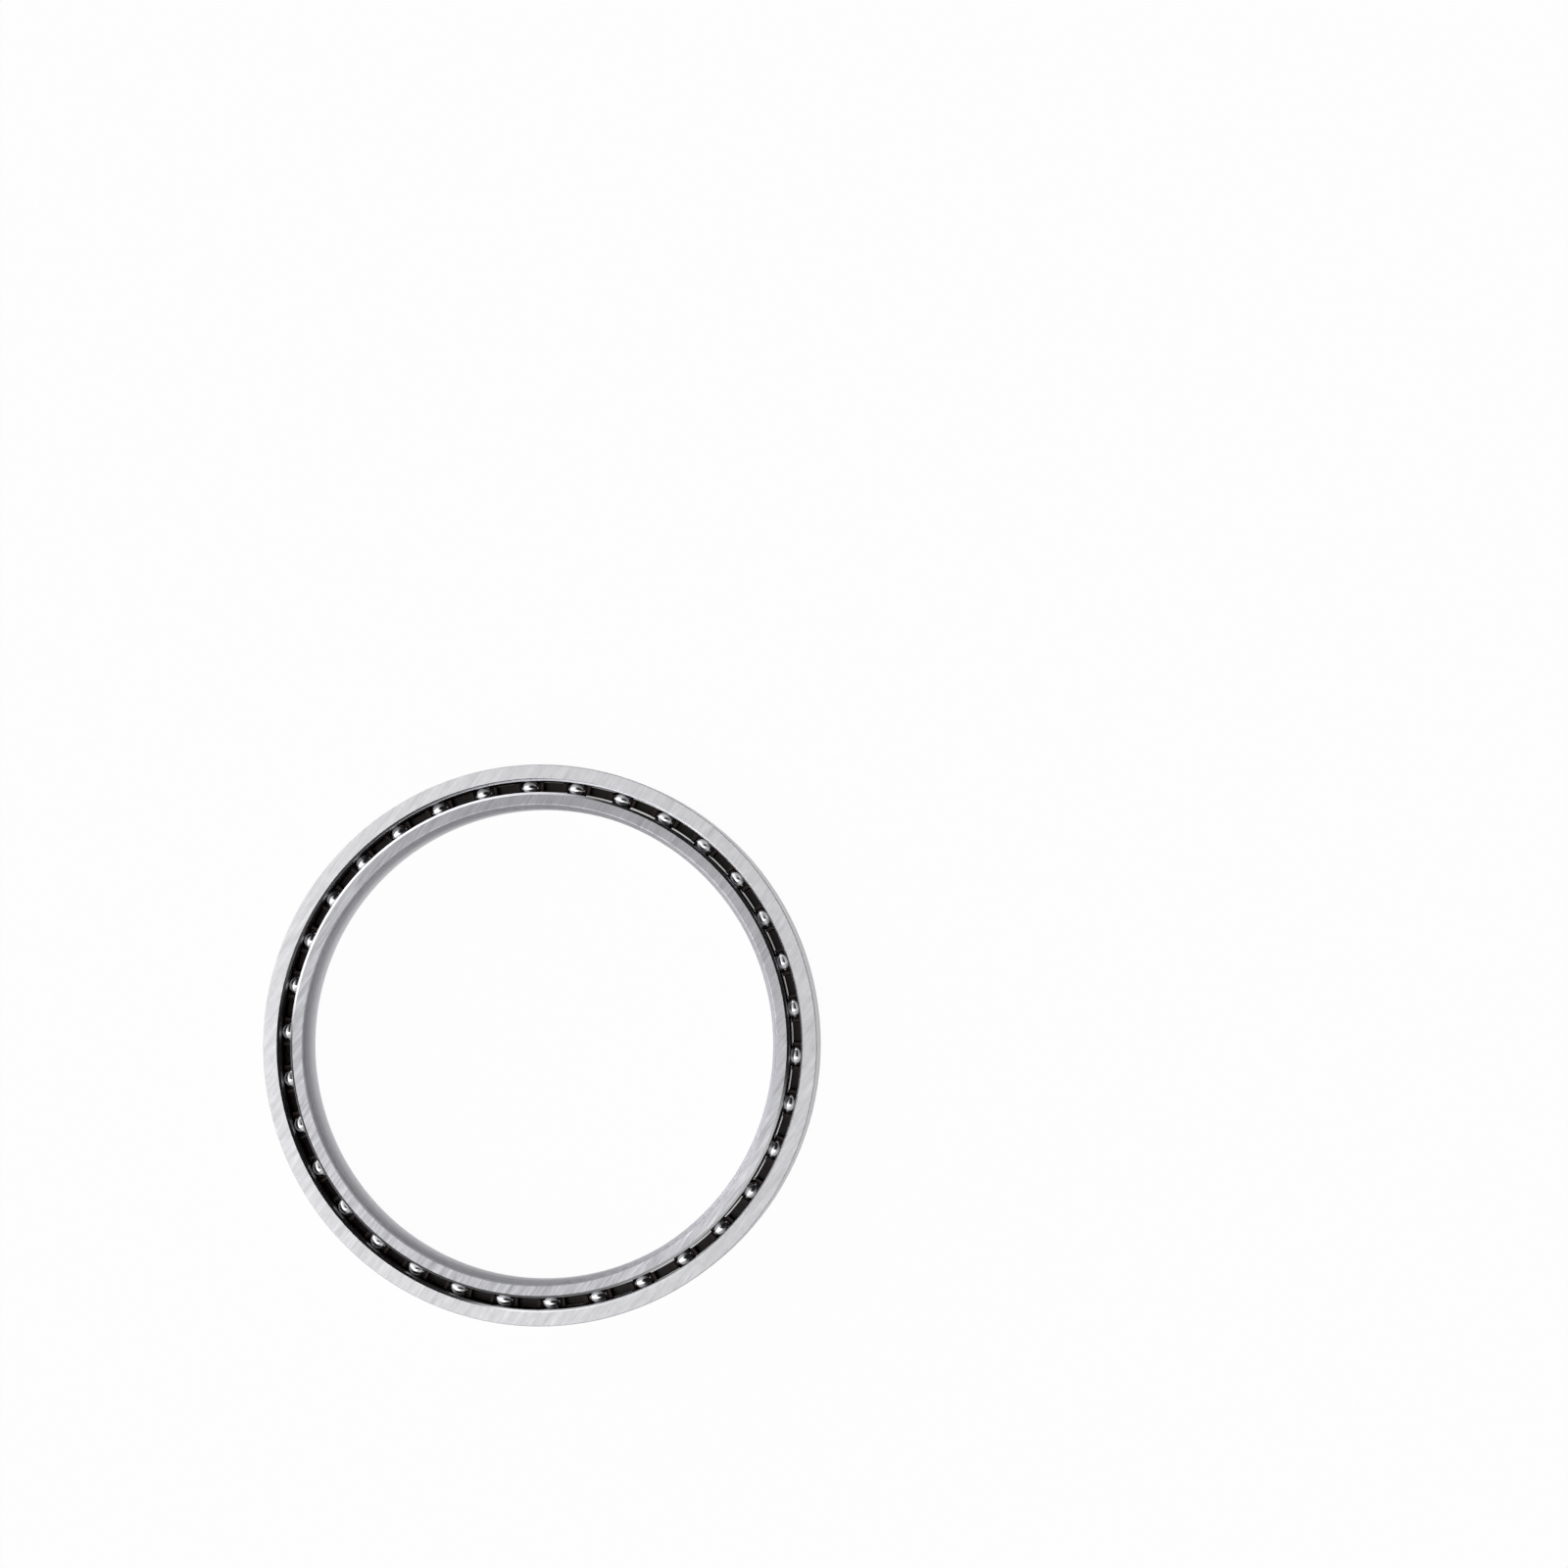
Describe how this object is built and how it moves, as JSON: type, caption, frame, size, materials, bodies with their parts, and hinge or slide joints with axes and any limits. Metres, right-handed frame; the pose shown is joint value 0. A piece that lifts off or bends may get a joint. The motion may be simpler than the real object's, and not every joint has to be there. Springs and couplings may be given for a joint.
{
  "type": "thin-section ball bearing",
  "caption": "Open thin-section ball bearing: slim inner and outer steel rings of square section, with steel balls between them in a moulded crown cage.",
  "frame": {"origin": "centre of the bearing, on its axis at mid width", "axes": "+Z along the axis, out of the side that the cage's pockets open to; +X through ball_01's centre"},
  "size_m": [0.1206, 0.1206, 0.0096],
  "materials": {
    "ground_steel": "hardened bearing steel, side faces ground to a fine satin hatch",
    "cage_plastic": "moulded polymer, very dark brown, slightly glossy with oil",
    "polished_ball": "lapped and polished bearing steel, mirror-like"
  },
  "bodies": {
    "outer_ring": {"outer_ring": "ground_steel"},
    "inner_ring": {"inner_ring": "ground_steel"},
    "cage": {"cage": "cage_plastic"},
    "ball_01": {"ball_01": "polished_ball"},
    "ball_02": {"ball_02": "polished_ball"},
    "ball_03": {"ball_03": "polished_ball"},
    "ball_04": {"ball_04": "polished_ball"},
    "ball_05": {"ball_05": "polished_ball"},
    "ball_06": {"ball_06": "polished_ball"},
    "ball_07": {"ball_07": "polished_ball"},
    "ball_08": {"ball_08": "polished_ball"},
    "ball_09": {"ball_09": "polished_ball"},
    "ball_10": {"ball_10": "polished_ball"},
    "ball_11": {"ball_11": "polished_ball"},
    "ball_12": {"ball_12": "polished_ball"},
    "ball_13": {"ball_13": "polished_ball"},
    "ball_14": {"ball_14": "polished_ball"},
    "ball_15": {"ball_15": "polished_ball"},
    "ball_16": {"ball_16": "polished_ball"},
    "ball_17": {"ball_17": "polished_ball"},
    "ball_18": {"ball_18": "polished_ball"},
    "ball_19": {"ball_19": "polished_ball"},
    "ball_20": {"ball_20": "polished_ball"},
    "ball_21": {"ball_21": "polished_ball"},
    "ball_22": {"ball_22": "polished_ball"},
    "ball_23": {"ball_23": "polished_ball"},
    "ball_24": {"ball_24": "polished_ball"},
    "ball_25": {"ball_25": "polished_ball"},
    "ball_26": {"ball_26": "polished_ball"},
    "ball_27": {"ball_27": "polished_ball"},
    "ball_28": {"ball_28": "polished_ball"},
    "ball_29": {"ball_29": "polished_ball"},
    "ball_30": {"ball_30": "polished_ball"},
    "ball_31": {"ball_31": "polished_ball"},
    "ball_32": {"ball_32": "polished_ball"},
    "ball_33": {"ball_33": "polished_ball"},
    "ball_34": {"ball_34": "polished_ball"}
  },
  "joints": [
    {"name": "inner_spin", "type": "hinge", "parent": "outer_ring", "child": "inner_ring", "pos_m": [0, 0, 0], "axis": [0, 0, 1], "continuous": true},
    {"name": "cage_spin", "type": "hinge", "parent": "outer_ring", "child": "cage", "pos_m": [0, 0, 0], "axis": [0, 0, 1], "continuous": true},
    {"name": "ball_01_spin", "type": "hinge", "parent": "cage", "child": "ball_01", "pos_m": [0.05556, 0, 0], "axis": [0, 0, 1], "continuous": true},
    {"name": "ball_02_spin", "type": "hinge", "parent": "cage", "child": "ball_02", "pos_m": [0.05462, 0.01021, 0], "axis": [0, 0, 1], "continuous": true},
    {"name": "ball_03_spin", "type": "hinge", "parent": "cage", "child": "ball_03", "pos_m": [0.05181, 0.02007, 0], "axis": [0, 0, 1], "continuous": true},
    {"name": "ball_04_spin", "type": "hinge", "parent": "cage", "child": "ball_04", "pos_m": [0.04724, 0.02925, 0], "axis": [0, 0, 1], "continuous": true},
    {"name": "ball_05_spin", "type": "hinge", "parent": "cage", "child": "ball_05", "pos_m": [0.04106, 0.03743, 0], "axis": [0, 0, 1], "continuous": true},
    {"name": "ball_06_spin", "type": "hinge", "parent": "cage", "child": "ball_06", "pos_m": [0.03348, 0.04434, 0], "axis": [0, 0, 1], "continuous": true},
    {"name": "ball_07_spin", "type": "hinge", "parent": "cage", "child": "ball_07", "pos_m": [0.02477, 0.04974, 0], "axis": [0, 0, 1], "continuous": true},
    {"name": "ball_08_spin", "type": "hinge", "parent": "cage", "child": "ball_08", "pos_m": [0.01521, 0.05344, 0], "axis": [0, 0, 1], "continuous": true},
    {"name": "ball_09_spin", "type": "hinge", "parent": "cage", "child": "ball_09", "pos_m": [0.00513, 0.05533, 0], "axis": [0, 0, 1], "continuous": true},
    {"name": "ball_10_spin", "type": "hinge", "parent": "cage", "child": "ball_10", "pos_m": [-0.00513, 0.05533, 0], "axis": [0, 0, 1], "continuous": true},
    {"name": "ball_11_spin", "type": "hinge", "parent": "cage", "child": "ball_11", "pos_m": [-0.01521, 0.05344, 0], "axis": [0, 0, 1], "continuous": true},
    {"name": "ball_12_spin", "type": "hinge", "parent": "cage", "child": "ball_12", "pos_m": [-0.02477, 0.04974, 0], "axis": [0, 0, 1], "continuous": true},
    {"name": "ball_13_spin", "type": "hinge", "parent": "cage", "child": "ball_13", "pos_m": [-0.03348, 0.04434, 0], "axis": [0, 0, 1], "continuous": true},
    {"name": "ball_14_spin", "type": "hinge", "parent": "cage", "child": "ball_14", "pos_m": [-0.04106, 0.03743, 0], "axis": [0, 0, 1], "continuous": true},
    {"name": "ball_15_spin", "type": "hinge", "parent": "cage", "child": "ball_15", "pos_m": [-0.04724, 0.02925, 0], "axis": [0, 0, 1], "continuous": true},
    {"name": "ball_16_spin", "type": "hinge", "parent": "cage", "child": "ball_16", "pos_m": [-0.05181, 0.02007, 0], "axis": [0, 0, 1], "continuous": true},
    {"name": "ball_17_spin", "type": "hinge", "parent": "cage", "child": "ball_17", "pos_m": [-0.05462, 0.01021, 0], "axis": [0, 0, 1], "continuous": true},
    {"name": "ball_18_spin", "type": "hinge", "parent": "cage", "child": "ball_18", "pos_m": [-0.05556, 0, 0], "axis": [0, 0, 1], "continuous": true},
    {"name": "ball_19_spin", "type": "hinge", "parent": "cage", "child": "ball_19", "pos_m": [-0.05462, -0.01021, 0], "axis": [0, 0, 1], "continuous": true},
    {"name": "ball_20_spin", "type": "hinge", "parent": "cage", "child": "ball_20", "pos_m": [-0.05181, -0.02007, 0], "axis": [0, 0, 1], "continuous": true},
    {"name": "ball_21_spin", "type": "hinge", "parent": "cage", "child": "ball_21", "pos_m": [-0.04724, -0.02925, 0], "axis": [0, 0, 1], "continuous": true},
    {"name": "ball_22_spin", "type": "hinge", "parent": "cage", "child": "ball_22", "pos_m": [-0.04106, -0.03743, 0], "axis": [0, 0, 1], "continuous": true},
    {"name": "ball_23_spin", "type": "hinge", "parent": "cage", "child": "ball_23", "pos_m": [-0.03348, -0.04434, 0], "axis": [0, 0, 1], "continuous": true},
    {"name": "ball_24_spin", "type": "hinge", "parent": "cage", "child": "ball_24", "pos_m": [-0.02477, -0.04974, 0], "axis": [0, 0, 1], "continuous": true},
    {"name": "ball_25_spin", "type": "hinge", "parent": "cage", "child": "ball_25", "pos_m": [-0.01521, -0.05344, 0], "axis": [0, 0, 1], "continuous": true},
    {"name": "ball_26_spin", "type": "hinge", "parent": "cage", "child": "ball_26", "pos_m": [-0.00513, -0.05533, 0], "axis": [0, 0, 1], "continuous": true},
    {"name": "ball_27_spin", "type": "hinge", "parent": "cage", "child": "ball_27", "pos_m": [0.00513, -0.05533, 0], "axis": [0, 0, 1], "continuous": true},
    {"name": "ball_28_spin", "type": "hinge", "parent": "cage", "child": "ball_28", "pos_m": [0.01521, -0.05344, 0], "axis": [0, 0, 1], "continuous": true},
    {"name": "ball_29_spin", "type": "hinge", "parent": "cage", "child": "ball_29", "pos_m": [0.02477, -0.04974, 0], "axis": [0, 0, 1], "continuous": true},
    {"name": "ball_30_spin", "type": "hinge", "parent": "cage", "child": "ball_30", "pos_m": [0.03348, -0.04434, 0], "axis": [0, 0, 1], "continuous": true},
    {"name": "ball_31_spin", "type": "hinge", "parent": "cage", "child": "ball_31", "pos_m": [0.04106, -0.03743, 0], "axis": [0, 0, 1], "continuous": true},
    {"name": "ball_32_spin", "type": "hinge", "parent": "cage", "child": "ball_32", "pos_m": [0.04724, -0.02925, 0], "axis": [0, 0, 1], "continuous": true},
    {"name": "ball_33_spin", "type": "hinge", "parent": "cage", "child": "ball_33", "pos_m": [0.05181, -0.02007, 0], "axis": [0, 0, 1], "continuous": true},
    {"name": "ball_34_spin", "type": "hinge", "parent": "cage", "child": "ball_34", "pos_m": [0.05462, -0.01021, 0], "axis": [0, 0, 1], "continuous": true}
  ],
  "couplings": [
    {"joint": "cage_spin", "follows": "inner_spin", "ratio": 0.47857},
    {"joint": "ball_01_spin", "follows": "inner_spin", "ratio": -11.645},
    {"joint": "ball_02_spin", "follows": "inner_spin", "ratio": -11.645},
    {"joint": "ball_03_spin", "follows": "inner_spin", "ratio": -11.645},
    {"joint": "ball_04_spin", "follows": "inner_spin", "ratio": -11.645},
    {"joint": "ball_05_spin", "follows": "inner_spin", "ratio": -11.645},
    {"joint": "ball_06_spin", "follows": "inner_spin", "ratio": -11.645},
    {"joint": "ball_07_spin", "follows": "inner_spin", "ratio": -11.645},
    {"joint": "ball_08_spin", "follows": "inner_spin", "ratio": -11.645},
    {"joint": "ball_09_spin", "follows": "inner_spin", "ratio": -11.645},
    {"joint": "ball_10_spin", "follows": "inner_spin", "ratio": -11.645},
    {"joint": "ball_11_spin", "follows": "inner_spin", "ratio": -11.645},
    {"joint": "ball_12_spin", "follows": "inner_spin", "ratio": -11.645},
    {"joint": "ball_13_spin", "follows": "inner_spin", "ratio": -11.645},
    {"joint": "ball_14_spin", "follows": "inner_spin", "ratio": -11.645},
    {"joint": "ball_15_spin", "follows": "inner_spin", "ratio": -11.645},
    {"joint": "ball_16_spin", "follows": "inner_spin", "ratio": -11.645},
    {"joint": "ball_17_spin", "follows": "inner_spin", "ratio": -11.645},
    {"joint": "ball_18_spin", "follows": "inner_spin", "ratio": -11.645},
    {"joint": "ball_19_spin", "follows": "inner_spin", "ratio": -11.645},
    {"joint": "ball_20_spin", "follows": "inner_spin", "ratio": -11.645},
    {"joint": "ball_21_spin", "follows": "inner_spin", "ratio": -11.645},
    {"joint": "ball_22_spin", "follows": "inner_spin", "ratio": -11.645},
    {"joint": "ball_23_spin", "follows": "inner_spin", "ratio": -11.645},
    {"joint": "ball_24_spin", "follows": "inner_spin", "ratio": -11.645},
    {"joint": "ball_25_spin", "follows": "inner_spin", "ratio": -11.645},
    {"joint": "ball_26_spin", "follows": "inner_spin", "ratio": -11.645},
    {"joint": "ball_27_spin", "follows": "inner_spin", "ratio": -11.645},
    {"joint": "ball_28_spin", "follows": "inner_spin", "ratio": -11.645},
    {"joint": "ball_29_spin", "follows": "inner_spin", "ratio": -11.645},
    {"joint": "ball_30_spin", "follows": "inner_spin", "ratio": -11.645},
    {"joint": "ball_31_spin", "follows": "inner_spin", "ratio": -11.645},
    {"joint": "ball_32_spin", "follows": "inner_spin", "ratio": -11.645},
    {"joint": "ball_33_spin", "follows": "inner_spin", "ratio": -11.645},
    {"joint": "ball_34_spin", "follows": "inner_spin", "ratio": -11.645}
  ]
}
